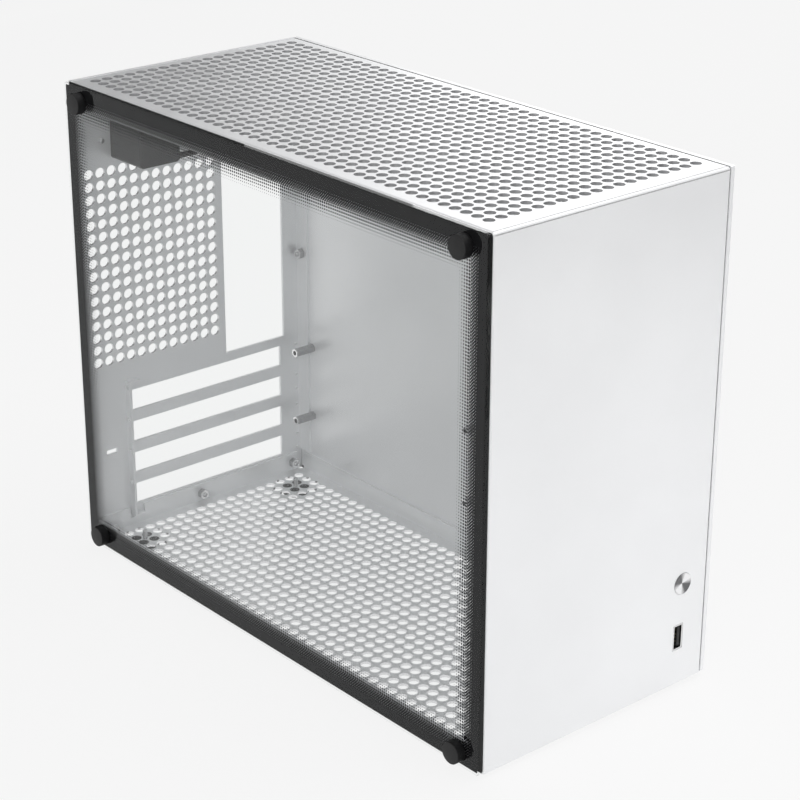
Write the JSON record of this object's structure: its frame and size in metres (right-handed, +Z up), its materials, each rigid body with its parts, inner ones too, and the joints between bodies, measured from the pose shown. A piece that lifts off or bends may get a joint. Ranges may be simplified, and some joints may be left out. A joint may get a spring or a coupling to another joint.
{
  "type": "mini pc case",
  "caption": "Upright desktop computer case of folded silver sheet with perforated top, floor and rear field, a clear side panel with dotted black border, front button and data port.",
  "frame": {"origin": "on the ground, under the middle of the whole case's outline", "axes": "-Y is the front with the power button, -X the glass side, +Z up"},
  "size_m": [0.1682, 0.3488, 0.2836],
  "materials": {
    "silver_sheet": "fine blasted, silver anodised",
    "glass": "clear, with a black printed border that fades in dots",
    "black_metal": "satin black",
    "black_rubber": "matte",
    "zinc_steel": "zinc plated",
    "spun_metal": "spun, bright",
    "bright_steel": "bright",
    "black_plastic": "fine moulded grain",
    "circuit_board": "solder mask",
    "brass": "tinned brass"
  },
  "bodies": {
    "case": {"front_top_shell": "silver_sheet", "floor_panel": "silver_sheet", "rear_panel": "silver_sheet", "right_side_panel": "silver_sheet", "glass_panel": "glass", "glass_nuts": "zinc_steel", "side_panel_nuts": "zinc_steel", "side_panel_screws": "zinc_steel", "rear_panel_nuts": "zinc_steel", "rear_panel_screws": "zinc_steel", "motherboard_standoffs": "zinc_steel", "foot_screws": "zinc_steel", "power_switch_body": "black_plastic", "usb_shell": "bright_steel", "usb_insulator": "black_plastic", "front_io_board": "circuit_board", "front_io_bracket": "silver_sheet", "front_io_screws": "zinc_steel", "power_inlet_body": "black_plastic", "inlet_pins": "brass", "inlet_screws": "zinc_steel", "thumb_screw_1": "black_metal", "foot_1": "black_rubber", "thumb_screw_2": "black_metal", "foot_2": "black_rubber", "thumb_screw_3": "black_metal", "foot_3": "black_rubber", "thumb_screw_4": "black_metal", "foot_4": "black_rubber"},
    "button": {"power_button": "spun_metal"}
  },
  "joints": [
    {"name": "button_press", "type": "slide", "parent": "case", "child": "button", "axis": [0, 1, 0], "range_m": [0, 0.0012], "stiffness_N_per_m": 1500, "springref_m": -0.0005}
  ]
}
